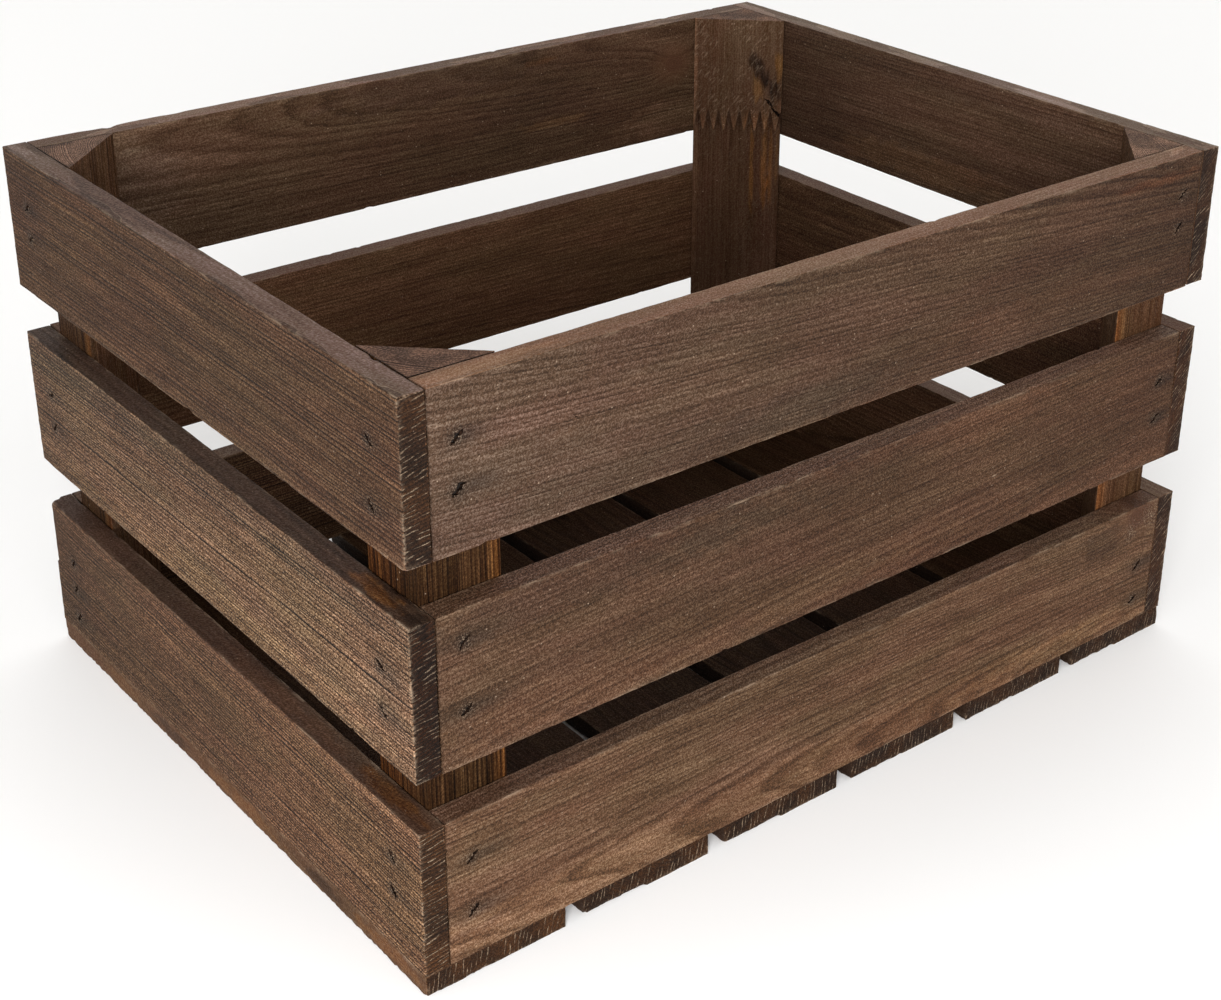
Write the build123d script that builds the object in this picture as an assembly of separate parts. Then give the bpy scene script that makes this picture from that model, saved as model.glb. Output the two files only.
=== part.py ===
from build123d import *
import math
import os

# A stapled softwood apple crate, in millimetres.
# Three tiers of boards stand on six bottom slats, held by a triangular post in each corner.
# The origin is under the middle of the crate, +X runs along its length, +Y to its back, +Z up.

# Outside of the crate
crate_length = 480.0
crate_width = 360.0

# Side boards: the end boards run the whole width, the long boards fit between them
board_thickness = 12.0
board_height = 72.5
lower_gap = 24.7
upper_gap = 25.3
board_edge_ease = 0.3

# No two boards are quite alike: these were ripped narrower along their lower edge, or sit higher
narrowed = {"back_plank_top": 1.4, "right_end_plank_top": 0.5}
lifted = {"back_plank_middle": 0.6}

# Bottom slats, laid front to back under the boards
slat_thickness = 11.0
slat_width = 72.0
slat_edge_ease = 0.3
slat_corner_radii = (0.9, 3.5, 3.0, 1.5, 1.5, 2.0)

# Triangular corner posts, with the right angle in the corner: their legs along X and along Y
post_legs = {
    "front_left": (40.0, 38.0),
    "front_right": (38.0, 38.0),
    "back_left": (40.0, 38.0),
    "back_right": (41.0, 38.0),
}
post_tip_flat = 0.8

# Glued finger joint in the back right post
finger_middle_z = 214.8
finger_length = 12.0
finger_pitch = 6.4
finger_tip_width = 0.9
finger_offset = -1.9

# Wire staples, driven just under the surface
staple_crown = 6.4
staple_wire_width = 1.2
staple_wire_depth = 1.0
staple_leg = 25.0
staple_point = 1.5
staple_sink = 1.0
staple_pocket_margin = 0.25
staple_inset_long = 25.0
staple_inset_end = 22.5
staple_lean = 45.0

# Places worked out from the sizes above
half_length = crate_length / 2
half_width = crate_width / 2
inner_half_length = half_length - board_thickness
inner_half_width = half_width - board_thickness
lower_tier_z = slat_thickness
middle_tier_z = lower_tier_z + board_height + lower_gap
upper_tier_z = middle_tier_z + board_height + upper_gap
rim_z = upper_tier_z + board_height
tiers = {"bottom": lower_tier_z, "middle": middle_tier_z, "top": upper_tier_z}
slat_pitch = (crate_length - slat_width) / (len(slat_corner_radii) - 1)

# Staple heights above each board's lower edge: (left or front end, right or back end)
front_rows = {
    "bottom": ((50.4, 22.8), (35.2, 14.0)),
    "middle": ((57.4, 25.8), (47.7, 26.5)),
    "top": ((49.3, 27.1), (52.4, 35.0)),
}
back_rows = {
    "bottom": ((47.0, 19.5), (53.0, 24.0)),
    "middle": ((55.0, 30.0), (49.5, 21.0)),
    "top": ((51.0, 24.0), (57.5, 29.5)),
}
left_rows = {
    "bottom": ((48.6, 31.0), (44.4, 28.2, 11.0)),
    "middle": ((45.4, 23.7), (45.0, 26.8)),
    "top": ((46.8, 18.4), (46.8, 30.9)),
}
right_rows = {
    "bottom": ((44.6, 21.5), (46.6, 16.4)),
    "middle": ((42.0, 20.5), (54.8, 28.0)),
    "top": ((46.2, 29.0), (50.0, 20.5)),
}


def centred_box(low, high):
    """A box between two opposite corners."""
    size = [b - a for a, b in zip(low, high)]
    middle = [(a + b) / 2 for a, b in zip(low, high)]
    return Pos(*middle) * Box(*size)


def eased(board, axis, ease):
    """The board with its four long edges, which run along one axis, slightly broken."""
    return chamfer(board.edges().filter_by(axis), ease)


def board_span(name, base_z):
    """The heights of a board's lower and upper edges."""
    lift = lifted.get(name, 0)
    return base_z + lift + narrowed.get(name, 0), base_z + lift + board_height


def long_board(name, side_y, base_z):
    low_z, high_z = board_span(name, base_z)
    low_y, high_y = sorted((side_y * half_width, side_y * inner_half_width))
    board = centred_box((-inner_half_length, low_y, low_z), (inner_half_length, high_y, high_z))
    return eased(board, Axis.X, board_edge_ease)


def end_board(name, side_x, base_z):
    low_z, high_z = board_span(name, base_z)
    low_x, high_x = sorted((side_x * half_length, side_x * inner_half_length))
    board = centred_box((low_x, -half_width, low_z), (high_x, half_width, high_z))
    return eased(board, Axis.Y, board_edge_ease)


def corner_post(side_x, side_y, legs):
    """A right triangular post. side_x and side_y, each -1 or 1, say which corner it fills."""
    leg_x, leg_y = legs
    outline = [
        (0, 0),
        (leg_x, 0),
        (leg_x, post_tip_flat),
        (post_tip_flat, leg_y),
        (0, leg_y),
    ]
    placed = [
        (side_x * (inner_half_length - u), side_y * (inner_half_width - v))
        for u, v in outline
    ]
    face = make_face(Polyline(*placed, close=True).edges())
    return Pos(0, 0, slat_thickness) * extrude(face, rim_z - slat_thickness, dir=(0, 0, 1))


def below_finger_joint():
    """Everything under the back right post's finger joint, cut square to its inner face."""
    leg_x, leg_y = post_legs["back_right"]
    face_centre_x = inner_half_length - leg_x / 2
    face_centre_y = inner_half_width - leg_y / 2
    reach = math.ceil(max(leg_x, leg_y) / finger_pitch) * finger_pitch
    half_tip = finger_tip_width / 2
    tip_z = finger_length / 2
    outline = []
    for finger in range(round(2 * reach / finger_pitch)):
        start = finger * finger_pitch - reach + finger_offset
        middle = start + finger_pitch / 2
        outline += [
            (start + half_tip, -tip_z),
            (middle - half_tip, tip_z),
            (middle + half_tip, tip_z),
            (start + finger_pitch - half_tip, -tip_z),
        ]
    floor_z = slat_thickness - finger_middle_z - 1
    outline += [(outline[-1][0], floor_z), (outline[0][0], floor_z)]
    inner_face = Plane(
        origin=(face_centre_x, face_centre_y, finger_middle_z),
        x_dir=(leg_x, -leg_y, 0),
        z_dir=(-leg_y, -leg_x, 0),
    )
    face = make_face(Polyline(*outline, close=True).edges())
    return extrude(inner_face * face, leg_x, both=True)


def bottom_slat(index):
    low_x = -half_length + index * slat_pitch
    slat = centred_box(
        (low_x, -half_width, 0),
        (low_x + slat_width, half_width, slat_thickness),
    )
    long_edges = slat.edges().filter_by(Axis.Y)
    worn_edge = long_edges.group_by(Axis.Z)[0].sort_by(Axis.X)[0]
    other_edges = [edge for edge in long_edges if edge.center() != worn_edge.center()]
    slat = chamfer(other_edges, slat_edge_ease)
    worn_edge = slat.edges().filter_by(Axis.Y).group_by(Axis.Z)[0].sort_by(Axis.X)[0]
    return fillet(worn_edge, slat_corner_radii[index])


def staple_plane(crown_centre, crown_direction, outward):
    return Plane(origin=crown_centre, x_dir=crown_direction, z_dir=outward)


def staple(plane):
    """A U of flat wire, its crown sunk under the surface that the plane lies on."""
    half_crown = staple_crown / 2
    inside = half_crown - staple_wire_depth
    top = -staple_sink
    under_crown = top - staple_wire_depth
    foot = top - staple_leg
    outline = [
        (-half_crown, top),
        (half_crown, top),
        (half_crown, foot),
        (inside, foot + staple_point),
        (inside, under_crown),
        (-inside, under_crown),
        (-inside, foot + staple_point),
        (-half_crown, foot),
    ]
    wire = make_face(Polyline(*outline, close=True).edges())
    upright = Rot(90, 0, 0) * wire
    return plane * extrude(upright, staple_wire_width / 2, dir=(0, 1, 0), both=True)


def staple_pocket(plane):
    """The slot that the sunk crown leaves open above itself."""
    margin = 2 * staple_pocket_margin
    slot = Box(staple_crown + margin, staple_wire_width + margin, 2 * staple_sink)
    return plane * slot


def side_staple_planes(rows, place, leans):
    """Planes of one side's staples. place(end, z) gives a point and leans(end) a direction."""
    planes = []
    for tier, ends in rows.items():
        for end, heights in zip((-1, 1), ends):
            for height in heights:
                point = place(end, tiers[tier] + height)
                planes.append((point, leans(end)))
    return planes


def long_side_planes(side_y, rows):
    lean = math.radians(staple_lean)
    return [
        staple_plane(point, direction, (0, side_y, 0))
        for point, direction in side_staple_planes(
            rows,
            lambda end, z: (end * (half_length - staple_inset_long), side_y * half_width, z),
            lambda end: (-side_y * math.cos(lean), 0, math.sin(lean)),
        )
    ]


def end_side_planes(side_x, rows):
    lean = math.radians(staple_lean)
    return [
        staple_plane(point, direction, (side_x, 0, 0))
        for point, direction in side_staple_planes(
            rows,
            lambda end, z: (side_x * half_length, end * (half_width - staple_inset_end), z),
            lambda end: (0, -end * math.cos(lean), math.sin(lean)),
        )
    ]


def bottom_planes():
    """Two staples up through each end of each slat, and two more into each end board."""
    planes = []
    board_middle_y = half_width - board_thickness / 2
    board_middle_x = half_length - board_thickness / 2
    for index in range(len(slat_corner_radii)):
        low_x = -half_length + index * slat_pitch
        for across in (0.33, 0.78):
            for side_y in (-1, 1):
                point = (low_x + across * slat_width, side_y * board_middle_y, 0)
                planes.append(staple_plane(point, (1, 0, 0), (0, 0, -1)))
    for side_x in (-1, 1):
        for along in (-0.32, 0.30):
            point = (side_x * board_middle_x, along * crate_width, 0)
            planes.append(staple_plane(point, (0, 1, 0), (0, 0, -1)))
    return planes


def touches(a, b):
    """Whether two shapes' boxes meet."""
    box_a, box_b = a.bounding_box(), b.bounding_box()
    lows = zip(tuple(box_a.min), tuple(box_b.max))
    highs = zip(tuple(box_b.min), tuple(box_a.max))
    return all(low < high for low, high in (*lows, *highs))


def socketed(wood, cutters):
    """The wood with a socket for each staple, and each pocket, that reaches into it."""
    near = [cutter for cutter in cutters if touches(wood, cutter)]
    return wood - near if near else wood


wood = {}
for tier, base_z in tiers.items():
    for side, side_y in (("front", -1), ("back", 1)):
        name = f"{side}_plank_{tier}"
        wood[name] = long_board(name, side_y, base_z)
    for side, side_x in (("left", -1), ("right", 1)):
        name = f"{side}_end_plank_{tier}"
        wood[name] = end_board(name, side_x, base_z)
for corner, side_x, side_y in (("front_left", -1, -1), ("front_right", 1, -1), ("back_left", -1, 1)):
    wood[f"corner_post_{corner}"] = corner_post(side_x, side_y, post_legs[corner])
jointed_post = corner_post(1, 1, post_legs["back_right"])
wood["corner_post_back_right_lower"] = jointed_post & below_finger_joint()
wood["corner_post_back_right_upper"] = jointed_post - below_finger_joint()
for index in range(len(slat_corner_radii)):
    wood[f"bottom_slat_{index + 1}"] = bottom_slat(index)

staple_planes = {
    "front_staples": long_side_planes(-1, front_rows),
    "back_staples": long_side_planes(1, back_rows),
    "left_end_staples": end_side_planes(-1, left_rows),
    "right_end_staples": end_side_planes(1, right_rows),
    "bottom_staples": bottom_planes(),
}
cutters = []
for planes in staple_planes.values():
    cutters += [staple(plane) for plane in planes]
    cutters += [staple_pocket(plane) for plane in planes]

os.makedirs("parts", exist_ok=True)
for name, board in wood.items():
    export_step(socketed(board, cutters), f"parts/{name}.step")
for name, planes in staple_planes.items():
    group = Compound(children=[staple(plane) for plane in planes])
    export_step(group, f"parts/{name}.step")
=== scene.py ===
import math

import bpy
import numpy as np
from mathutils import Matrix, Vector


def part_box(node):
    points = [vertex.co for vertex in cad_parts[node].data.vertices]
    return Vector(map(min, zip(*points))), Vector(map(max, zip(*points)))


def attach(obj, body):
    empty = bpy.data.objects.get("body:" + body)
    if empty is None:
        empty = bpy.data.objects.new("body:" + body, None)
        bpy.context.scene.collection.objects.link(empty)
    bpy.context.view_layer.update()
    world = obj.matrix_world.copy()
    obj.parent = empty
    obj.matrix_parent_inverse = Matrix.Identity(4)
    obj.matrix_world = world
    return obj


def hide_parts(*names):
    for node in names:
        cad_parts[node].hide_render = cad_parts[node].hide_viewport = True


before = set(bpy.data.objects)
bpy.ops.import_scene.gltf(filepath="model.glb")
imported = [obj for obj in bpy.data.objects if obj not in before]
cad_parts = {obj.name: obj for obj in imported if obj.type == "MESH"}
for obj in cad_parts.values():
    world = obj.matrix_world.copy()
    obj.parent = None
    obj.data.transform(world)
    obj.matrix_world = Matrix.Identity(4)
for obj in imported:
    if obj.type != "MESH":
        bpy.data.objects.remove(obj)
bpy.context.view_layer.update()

# The looks of a stapled apple crate of brown stained spruce. The scene is in metres. Lengths
# named _mm, places and lengths in the tables BOARDS, SLATS and POSTS, and the coordinates that
# the wood's mesh attributes hold are in millimetres.
MM = 0.001
ROOT = "root"

# Each family of boards: the directions of its length, its width and its outer face
FRONT = (1, 0, 0), (0, 0, 1), (0, -1, 0)
BACK = (-1, 0, 0), (0, 0, 1), (0, 1, 0)
LEFT = (0, -1, 0), (0, 0, 1), (-1, 0, 0)
RIGHT = (0, 1, 0), (0, 0, 1), (1, 0, 0)
UNDER = (0, 1, 0), (1, 0, 0), (0, 0, -1)

# Stain colours, linear
FACE_STAIN = (0.062, 0.032, 0.017)
# The edges' stain is partly painted sheen, paler for the sheen on the top rims.
EDGE_STAIN = (0.098, 0.052, 0.031)
INNER_STAIN = (0.048, 0.0225, 0.0105)
END_STAIN = (0.0165, 0.0066, 0.002)
POST_STAIN = (0.04, 0.0185, 0.0075)
POST_TOP_STAIN = (0.052, 0.028, 0.017)


# -------- fields over points

def waves(points, size, seed, count=16):
    """Smooth noise of about unit spread over an array of points. size is the wavelength per axis."""
    rng = np.random.default_rng(seed)
    pitch = np.asarray(size, float)
    turns = rng.normal(size=(count, points.shape[1])) / pitch
    phase = rng.uniform(0, 2 * math.pi, count)
    return np.sin(2 * math.pi * points @ turns.T + phase).sum(1) * math.sqrt(2 / count)


def smooth_step(low, high, value):
    """0 at low and 1 at high, eased between. low may be the larger."""
    t = np.clip((value - low) / (high - low), 0, 1)
    return t * t * (3 - 2 * t)


def spread(half, step, margins=(0, 0.3, 0.8, 1.6, 2.8)):
    """Positions from -half to half: close together at both ends, about step apart between."""
    inner = half - margins[-1]
    middle = np.linspace(-inner, inner, max(2, round(2 * inner / step) + 1))
    edge = np.array(margins[:-1])
    return np.concatenate([-half + edge, middle, half - edge[::-1]])


# -------- meshes

def lattice_shell(along, across, through):
    """Points and outward quads of a box whose six faces are ruled by three lists of positions."""
    shape = (len(along), len(across), len(through))
    grid = np.stack(np.meshgrid(along, across, through, indexing="ij"), -1)
    place = np.indices(shape)
    limit = np.array(shape).reshape(3, 1, 1, 1) - 1
    shell = ((place == 0) | (place == limit)).any(0)
    index = np.full(shape, -1)
    index[shell] = np.arange(shell.sum())
    quads = []
    for axis in range(3):
        for side in (0, shape[axis] - 1):
            layer = np.take(index, side, axis)
            if axis == 1:
                layer = layer.T
            ring = [layer[:-1, :-1], layer[1:, :-1], layer[1:, 1:], layer[:-1, 1:]]
            if side == 0:
                ring.reverse()
            quads.append(np.stack(ring, -1).reshape(-1, 4))
    return grid[shell], np.concatenate(quads)


def round_off(points, half, radius):
    """The box's points with its arrises rounded. radius is one number for each point."""
    core = half - radius[:, None]
    inner = np.clip(points, -core, core)
    out = points - inner
    length = np.maximum(np.linalg.norm(out, axis=1, keepdims=True), 1e-9)
    return inner + out / length * radius[:, None]


def new_mesh_object(name, points, faces):
    mesh = bpy.data.meshes.new(name)
    mesh.from_pydata(points.tolist(), [], faces.tolist() if hasattr(faces, "tolist") else faces)
    mesh.validate()
    mesh.update()
    thing = bpy.data.objects.new(name, mesh)
    bpy.context.scene.collection.objects.link(thing)
    return thing


def mesh_points(mesh):
    flat = np.empty(len(mesh.vertices) * 3, np.float32)
    mesh.vertices.foreach_get("co", flat)
    return flat.reshape(-1, 3).astype(float)


def set_attributes(mesh, **attributes):
    """Adds attributes of three numbers for each point. The one named tint is a colour."""
    for name, values in attributes.items():
        kind, field = "FLOAT_VECTOR", "vector"
        if name == "tint":
            kind, field = "FLOAT_COLOR", "color"
            values = np.column_stack([values, np.ones(len(values))])
        layer = mesh.attributes.new(name, kind, "POINT")
        layer.data.foreach_set(field, np.ascontiguousarray(values, np.float32).ravel())


# -------- staples

def loose_parts(mesh):
    """The point arrays of a mesh's separate solids."""
    points = mesh_points(mesh)
    keys = np.round(points * 1e6).astype(np.int64)
    _, same = np.unique(keys, axis=0, return_inverse=True)
    same = same.reshape(-1)
    parent = list(range(same.max() + 1))

    def root(i):
        while parent[i] != i:
            parent[i] = parent[parent[i]]
            i = parent[i]
        return i

    for polygon in mesh.polygons:
        first, *others = (same[v] for v in polygon.vertices)
        for other in others:
            parent[root(other)] = root(first)
    roots = np.array([root(i) for i in same])
    return [points[roots == r] for r in np.unique(roots)]


def crowns(node, outward):
    """Centre and direction of each staple's crown in a CAD node of staples."""
    found = []
    out = np.array(outward, float)
    for points in loose_parts(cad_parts[node].data):
        height = points @ out
        top = points[height > height.max() - 0.1 * MM]
        middle = (top.min(0) + top.max(0)) / 2
        direction = np.linalg.svd(top - middle)[2][0]
        found.append((middle, direction))
    return found


STAPLES = {
    "front_staples": FRONT[2],
    "back_staples": BACK[2],
    "left_end_staples": LEFT[2],
    "right_end_staples": RIGHT[2],
    "bottom_staples": UNDER[2],
}
CROWNS = [
    (middle, direction, np.array(outward, float))
    for node, outward in STAPLES.items()
    for middle, direction in crowns(node, outward)
]
TOP_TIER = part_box("front_plank_top")[0].z

# The rings of a plug: how high each lies over the staple's crown in mm, and how much it is grown
PLUG_RINGS = (-0.35, 0.75), (0.9, 1), (1.8, 1.25)


def ragged_plug(middle, direction, outward, length, width, hook, rng):
    """A plug for a torn slot, in metres: an uneven, pinched outline swept from below to above."""
    side = np.cross(outward, direction)
    count = 15
    place = np.linspace(-0.5, 0.5, count)
    swell = np.clip(0.62 + 0.55 * rng.normal(size=(2, count)), 0.16, 1.7)
    swell = 0.5 * swell + 0.25 * (np.roll(swell, 1, 1) + np.roll(swell, -1, 1))
    taper = np.clip(1.12 - np.abs(2 * place) ** 4, 0.12, 1)
    bend = hook * width * (2 * place) ** 3 + 0.14 * width * rng.normal(size=count)
    upper = bend + swell[0] * taper * width / 2
    lower = bend - swell[1] * taper * width / 2 - 0.05
    outline = [*zip(place, lower), *zip(place[::-1], upper[::-1])]
    sides = len(outline)
    points = []
    for height, grow in PLUG_RINGS:
        for along, across in outline:
            points.append(
                middle
                + direction * along * length * (0.9 + 0.1 * grow) * MM
                + side * across * grow * MM
                + outward * height * MM
            )
    faces = [tuple(range(sides - 1, -1, -1)), tuple(range(2 * sides, 3 * sides))]
    for ring in (0, sides):
        for step in range(sides):
            after = (step + 1) % sides
            faces.append((ring + step, ring + after, ring + sides + after, ring + sides + step))
    return points, faces


# The least and greatest length, width and hook of the torn slots over the staples, in mm
LONG_SIDE_SLOT = (6.8, 8.6), (1.7, 2.6), (-0.6, 0.6)
END_SLOT = (6.2, 7.6), (1.5, 2.3), (-0.7, 0.7)


def pocket_plugs(middle, direction, outward, rng):
    """The torn slot over one crown: narrow in the end boards, wider in the long ones, and crushed
    and splintered at the left of the top long boards."""
    on_long_side = abs(outward[1]) > 0.5
    slot = LONG_SIDE_SLOT if on_long_side else END_SLOT
    length, width, hook = (rng.uniform(*limits) for limits in slot)
    splintered = on_long_side and middle[2] > TOP_TIER and middle[0] < 0
    if not splintered:
        return [ragged_plug(middle, direction, outward, length, width, hook, rng)]
    length += 0.8
    width += 0.6
    plugs = [ragged_plug(middle, direction, outward, length, width, hook, rng)]
    side = np.cross(outward, direction)
    for turn in (-1, 1, 1):
        off = turn * (0.6 * width + rng.uniform(0.4, 1.1))
        place = middle + (direction * rng.uniform(-3.2, 3.2) + side * off) * MM
        leaning = direction + side * rng.uniform(-0.7, 0.7)
        leaning /= np.linalg.norm(leaning)
        plugs.append(ragged_plug(
            place, leaning, outward, rng.uniform(2, 3.6), rng.uniform(0.6, 1), 0, rng))
    return plugs


def board_plugs(box_low, box_high, pits, seed):
    """The plugs over each staple crown that lies in the board's box, and for each of its pits:
    a point on the surface, the surface's direction and the pit's size in mm. They come in groups
    in which no two plugs meet."""
    rng = np.random.default_rng(seed)
    pockets = [
        pocket_plugs(middle, direction, outward, rng)
        for middle, direction, outward in CROWNS
        if np.all(middle > box_low) and np.all(middle < box_high)
    ]
    pit_plugs = []
    for place, outward, size in pits:
        across = np.cross(outward, (0.3, 0.5, 0.8))
        across /= np.linalg.norm(across)
        below = place - outward * 0.6 * MM
        pit_plugs.append(ragged_plug(below, across, outward, size, 0.6 * size, 0, rng))
    return [pit_plugs, *zip(*pockets)]


def cut_out(board, plugs):
    """Cuts plugs that don't meet out of a piece, and leaves dark torn wood where they were, its darkness
    partly painted shade.
    """
    points, faces = [], []
    for more, rings in plugs:
        faces += [tuple(i + len(points) for i in ring) for ring in rings]
        points += more
    if not points:
        return
    cutter = new_mesh_object(board.name + "_cutter", np.array(points), faces)
    cutter.data.materials.append(shaded_pocket_wood)
    if shaded_pocket_wood.name not in board.data.materials:
        board.data.materials.append(shaded_pocket_wood)
    modifier = board.modifiers.new("pockets", "BOOLEAN")
    modifier.object = cutter
    modifier.operation = "DIFFERENCE"
    modifier.solver = "EXACT"
    modifier.material_mode = "TRANSFER"
    graph = bpy.context.evaluated_depsgraph_get()
    cut = bpy.data.meshes.new_from_object(board.evaluated_get(graph), depsgraph=graph)
    board.modifiers.clear()
    old = board.data
    board.data = cut
    cut.name = old.name + "_cut"
    bpy.data.meshes.remove(old)
    bpy.data.objects.remove(cutter)


# -------- node graphs

class Graph:
    """The nodes of a material or world, each added in one call that takes sockets or values."""

    def __init__(self, name, kind=bpy.data.materials):
        self.owner = kind.new(name)
        self.owner.use_nodes = True
        self.tree = self.owner.node_tree
        self.tree.nodes.clear()

    def add(self, kind, *inputs, out=0, **settings):
        node = self.tree.nodes.new("ShaderNode" + kind)
        for key, value in settings.items():
            setattr(node, key, value)
        for socket, value in zip(node.inputs, inputs):
            self.feed(socket, value)
        return node.outputs[out]

    def feed(self, socket, value):
        if value is None:
            return
        if isinstance(value, bpy.types.NodeSocket):
            self.tree.links.new(value, socket)
        else:
            socket.default_value = value

    def math(self, operation, a, b=None, c=None):
        return self.add("Math", a, b, c, operation=operation)

    def times(self, product, *factors):
        for factor in factors:
            product = self.math("MULTIPLY", product, factor)
        return product

    def times_plus(self, a, b, c):
        """a times b, plus c."""
        return self.math("MULTIPLY_ADD", a, b, c)

    def vector(self, operation, a, b=None):
        return self.add("VectorMath", a, b, operation=operation)

    def dot(self, point, row):
        return self.add("VectorMath", point, row, operation="DOT_PRODUCT", out=1)

    def slanted(self, point, rows):
        """The point measured along three slanting directions."""
        return self.add("CombineXYZ", *(self.dot(point, row) for row in rows))

    def step(self, value, low, high, to_low=0, to_high=1):
        return self.add(
            "MapRange", value, low, high, to_low, to_high,
            interpolation_type="SMOOTHSTEP",
        )

    def mix(self, factor, a, b):
        """Two colours mixed. They are the node's seventh and eighth sockets."""
        return self.add("Mix", factor, *[None] * 5, a, b, out=2, data_type="RGBA")

    def tinted(self, colour, factor):
        """colour times a number that varies over the surface."""
        return self.add("VectorMath", colour, None, None, factor, operation="SCALE")

    def noise(self, point, scale, detail=2, roughness=0.5, out=0):
        """Noise over a point scaled per axis, so scale is one over the pattern's size."""
        scaled = self.vector("MULTIPLY", point, scale)
        return self.add("TexNoise", scaled, None, 1, detail, roughness, out=out)

    def attribute(self, name, out=1):
        return self.add("Attribute", attribute_name=name, out=out)

    def split(self, vector):
        """The three numbers of a vector."""
        return tuple(self.add("SeparateXYZ", vector).node.outputs)

    def cells(self, point, scale):
        """Distance to the nearest of many scattered points, and that point's own random number."""
        node = self.add("TexVoronoi", self.vector("MULTIPLY", point, scale), None, 1).node
        return node.outputs["Distance"], self.add("SeparateColor", node.outputs["Color"])

    def swing(self, value, low, high, amount):
        """A factor from 1 - amount to 1 + amount as value goes from low to high."""
        return self.times_plus(self.step(value, low, high, -1, 1), amount, 1)

    def surface(self, colour, roughness, gloss, metallic=None, normal=None):
        """The material, finished with its one shader. gloss is its plain specular level."""
        shader = self.tree.nodes.new("ShaderNodeBsdfPrincipled")
        self.feed(shader.inputs["Base Color"], colour)
        self.feed(shader.inputs["Roughness"], roughness)
        self.feed(shader.inputs["Metallic"], metallic)
        self.feed(shader.inputs["Normal"], normal)
        shader.inputs["Specular IOR Level"].default_value = gloss
        return self.finish(shader.outputs[0], "Material")

    def finish(self, shader, kind):
        """Links the shader to the output of the material or world, and gives that back."""
        output = self.tree.nodes.new("ShaderNodeOutput" + kind)
        self.feed(output.inputs["Surface"], shader)
        return self.owner


# -------- materials

RING_MM = 1.9
# The rings wander slowly and shiver finely: one over the size of each, and how far it goes in mm
RING_WANDER = (
    ((0.006, 0.03, 0.03), (0, 5, 5)),
    ((0.05, 0.5, 0.5), (0, 0.8, 0.8)),
)
# The saw left cuts on the ends, this far apart
SAW_CUT_MM = 2.3

# Scuffs are long dashes across the grain: each row is a direction times the scuffs per mm
SCUFF_SLANT = (0.16, 0.13, 0), (-0.42, 0.58, 0), (0, 0, 0.8)

# Flecks are dashes that lean across the grain: each row is a direction times the flecks per mm
FLECK_SLANT = (1.25, -0.75, 0.75), (0.3, 0.72, -0.72), (0.35, 0.9, 0.9)

# Factors on the stain: in its red and its olive patches, where it is dark and where it is pale,
# and where the plane lifted the fibres
REDDER = 1.035, 0.985, 1, 1
GREENER = 0.97, 1.015, 0.97, 1
DARK_WARM = 1.09, 0.965, 0.83, 1
PALE_GREY = 0.93, 1.025, 1.13, 1
PLANED_PALE = 1.55, 1.66, 1.8, 1
UNCHANGED = 1, 1, 1, 1

TORN_FIBRE = 0.33, 0.24, 0.165, 1
SAWN_FIBRE = 0.35, 0.255, 0.17, 1
PALE_SPECK = 0.34, 0.25, 0.18, 1
KNOT_DARK = 0.02, 0.008, 0.004, 1
KNOT_BROWN = 0.055, 0.022, 0.011, 1
KNOT_HALO = 0.085, 0.036, 0.017, 1


def growth_rings(g, grain):
    """The dark line of late wood in each ring, and the ridge of early wood after it."""
    bent = grain
    for scale, reach in RING_WANDER:
        wander = g.vector("SUBTRACT", g.noise(grain, scale, out=1), (0.5, 0.5, 0.5))
        bent = g.vector("ADD", bent, g.vector("MULTIPLY", wander, reach))
    radius = g.add("VectorMath", g.vector("MULTIPLY", bent, (0, 1, 1)), operation="LENGTH", out=1)
    spacing = g.noise(g.add("CombineXYZ", radius, 0, 0), (0.05, 0, 0))
    ring = g.times_plus(spacing, 7, g.math("DIVIDE", radius, RING_MM))
    phase = g.math("FRACT", ring)
    year = g.noise(g.add("CombineXYZ", g.math("FLOOR", ring), 0, 0), (0.37, 0, 0), 0)
    dark_line = g.times(
        g.step(phase, 0.5, 0.84),
        g.step(phase, 0.9, 1, 1, 0),
        g.step(year, 0.35, 0.6, 0.3, 1),
    )
    ridge = g.times(g.step(phase, 0.02, 0.12), g.step(phase, 0.16, 0.45, 1, 0))
    return dark_line, ridge


def flecks(g, board):
    """Raised fuzz, as a height that is about 0.5 on average."""
    leaning = g.slanted(board, FLECK_SLANT)
    place, luck = g.cells(leaning, (1, 1, 1))
    dash = g.times(g.step(place, 0.12, 0.5, 1, 0), luck)
    fuzz = g.noise(leaning, (0.9, 0.9, 0.9), 2, 0.6)
    return g.times_plus(dash, 0.32, g.math("SUBTRACT", fuzz, 0.05))


def face_colour(g, board, grain, tint, dark_line, ridge, fibre, fleck, streak, fuzz):
    """Patches of red and of olive, and of light and dark, under the rings, streaks and fuzz."""
    hue = g.step(g.noise(board, (0.012, 0.045, 0.045), 3, 0.6), 0.36, 0.64)
    colour = g.vector("MULTIPLY", tint, g.mix(hue, REDDER, GREENER))
    blotch = g.noise(board, (0.008, 0.022, 0.05), 3, 0.6)
    broad = g.noise(grain, (0.007, 0.16, 0.16))
    shade = g.times(
        g.swing(blotch, 0.38, 0.62, 0.1),
        g.times_plus(dark_line, -1, 1),
        g.times_plus(ridge, 0.45, 1),
        g.swing(fibre, 0.36, 0.64, streak),
        g.swing(broad, 0.38, 0.62, g.times(streak, 0.6)),
        g.swing(fleck, 0.36, 0.66, fuzz),
    )
    greyed = g.mix(g.step(shade, 0.55, 1.35), DARK_WARM, PALE_GREY)
    return g.vector("MULTIPLY", g.tinted(colour, shade), greyed)


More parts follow.
